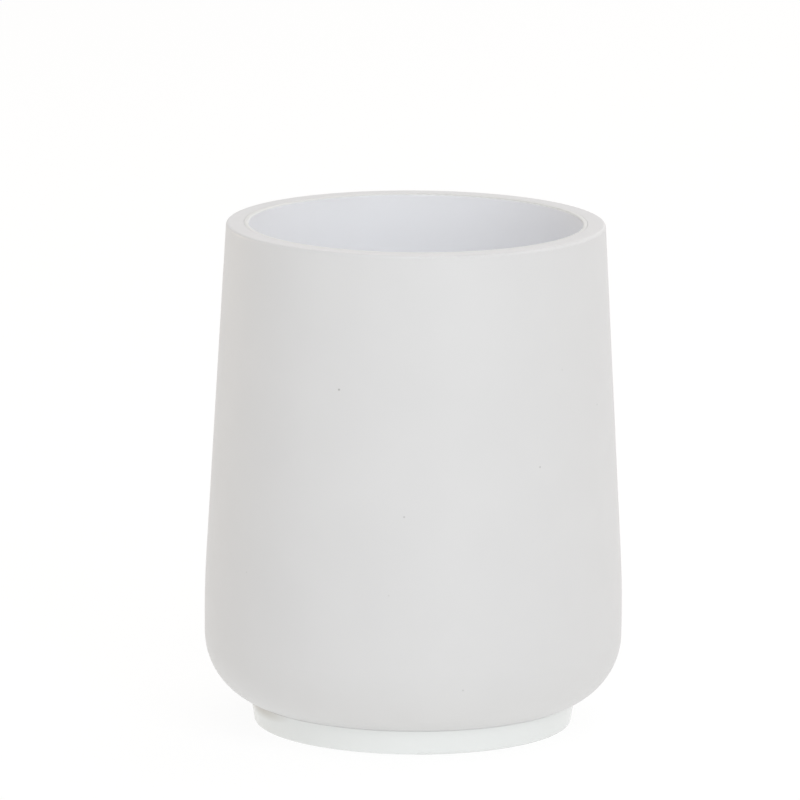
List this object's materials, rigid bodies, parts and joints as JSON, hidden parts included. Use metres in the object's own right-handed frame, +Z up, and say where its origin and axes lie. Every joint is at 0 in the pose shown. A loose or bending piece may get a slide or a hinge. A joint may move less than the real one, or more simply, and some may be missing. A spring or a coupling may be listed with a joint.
{
  "type": "bathroom tumbler",
  "caption": "Free-standing bathroom tumbler: matt body swelling towards a rounded shoulder, flat rim, gloss cup set inside and a low set-back gloss foot on rubber pads.",
  "frame": {"origin": "centre of the resting plane under the pads", "axes": "+Z up along the tumbler's axis; the first pad lies on +X"},
  "size_m": [0.083, 0.083, 0.101],
  "materials": {
    "body_matt": "matte",
    "cup_gloss": "satin",
    "foot_gloss": "gloss",
    "pad_rubber": "matte"
  },
  "bodies": {
    "root": {"outer_body": "body_matt", "inner_cup": "cup_gloss", "foot_plinth": "foot_gloss", "non_slip_pad_1": "pad_rubber", "non_slip_pad_2": "pad_rubber", "non_slip_pad_3": "pad_rubber", "non_slip_pad_4": "pad_rubber"}
  },
  "joints": []
}
